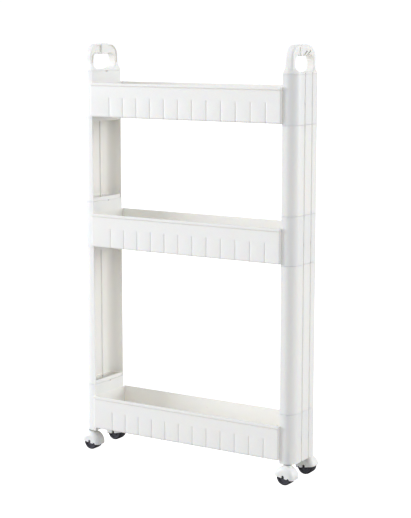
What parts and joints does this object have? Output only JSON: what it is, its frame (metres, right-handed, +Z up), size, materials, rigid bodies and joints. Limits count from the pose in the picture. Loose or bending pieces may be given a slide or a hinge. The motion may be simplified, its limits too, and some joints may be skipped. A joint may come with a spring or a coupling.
{
  "type": "rolling utility cart",
  "caption": "Slim slide-out storage cart with moulded trays between hollow end columns, loop handles and hooded swivel casters.",
  "frame": {"origin": "on the floor under the middle of the cart, bottom centre of its bounding box", "axes": "+Z up, +X along the cart towards its right end, -Y towards the front"},
  "size_m": [0.547, 0.124, 0.914],
  "materials": {
    "white_plastic": "glossy white moulded plastic",
    "wheel_plastic": "dark grey moulded plastic",
    "tyre": "satin dark rubber",
    "nylon": "natural nylon",
    "steel": "zinc-plated steel"
  },
  "bodies": {
    "cart": {"tray_top": "white_plastic", "tray_middle": "white_plastic", "tray_bottom": "white_plastic", "connector_upper_left": "white_plastic", "connector_lower_left": "white_plastic", "handle_left": "white_plastic", "connector_upper_right": "white_plastic", "connector_lower_right": "white_plastic", "handle_right": "white_plastic", "stem_sleeve_front_left": "nylon", "stem_front_left": "steel", "swivel_washer_front_left": "steel", "stem_sleeve_back_left": "nylon", "stem_back_left": "steel", "swivel_washer_back_left": "steel", "stem_sleeve_front_right": "nylon", "stem_front_right": "steel", "swivel_washer_front_right": "steel", "stem_sleeve_back_right": "nylon", "stem_back_right": "steel", "swivel_washer_back_right": "steel"},
    "caster_front_left": {"hood_front_left": "white_plastic", "axle_front_left": "steel"},
    "wheel_front_left": {"wheel_front_left": "wheel_plastic", "tyre_front_left": "tyre"},
    "caster_back_left": {"hood_back_left": "white_plastic", "axle_back_left": "steel"},
    "wheel_back_left": {"wheel_back_left": "wheel_plastic", "tyre_back_left": "tyre"},
    "caster_front_right": {"hood_front_right": "white_plastic", "axle_front_right": "steel"},
    "wheel_front_right": {"wheel_front_right": "wheel_plastic", "tyre_front_right": "tyre"},
    "caster_back_right": {"hood_back_right": "white_plastic", "axle_back_right": "steel"},
    "wheel_back_right": {"wheel_back_right": "wheel_plastic", "tyre_back_right": "tyre"}
  },
  "joints": [
    {"name": "swivel_front_left", "type": "hinge", "parent": "cart", "child": "caster_front_left", "pos_m": [-0.254, -0.046, 0.042], "axis": [0, 0, 1], "continuous": true},
    {"name": "wheel_spin_front_left", "type": "hinge", "parent": "caster_front_left", "child": "wheel_front_left", "pos_m": [-0.251, -0.046, 0.0175], "axis": [0, 1, 0], "continuous": true},
    {"name": "swivel_back_left", "type": "hinge", "parent": "cart", "child": "caster_back_left", "pos_m": [-0.254, 0.046, 0.042], "axis": [0, 0, 1], "continuous": true},
    {"name": "wheel_spin_back_left", "type": "hinge", "parent": "caster_back_left", "child": "wheel_back_left", "pos_m": [-0.251, 0.046, 0.0175], "axis": [0, 1, 0], "continuous": true},
    {"name": "swivel_front_right", "type": "hinge", "parent": "cart", "child": "caster_front_right", "pos_m": [0.254, -0.046, 0.042], "axis": [0, 0, 1], "continuous": true},
    {"name": "wheel_spin_front_right", "type": "hinge", "parent": "caster_front_right", "child": "wheel_front_right", "pos_m": [0.251, -0.046, 0.0175], "axis": [0, 1, 0], "continuous": true},
    {"name": "swivel_back_right", "type": "hinge", "parent": "cart", "child": "caster_back_right", "pos_m": [0.254, 0.046, 0.042], "axis": [0, 0, 1], "continuous": true},
    {"name": "wheel_spin_back_right", "type": "hinge", "parent": "caster_back_right", "child": "wheel_back_right", "pos_m": [0.251, 0.046, 0.0175], "axis": [0, 1, 0], "continuous": true}
  ]
}
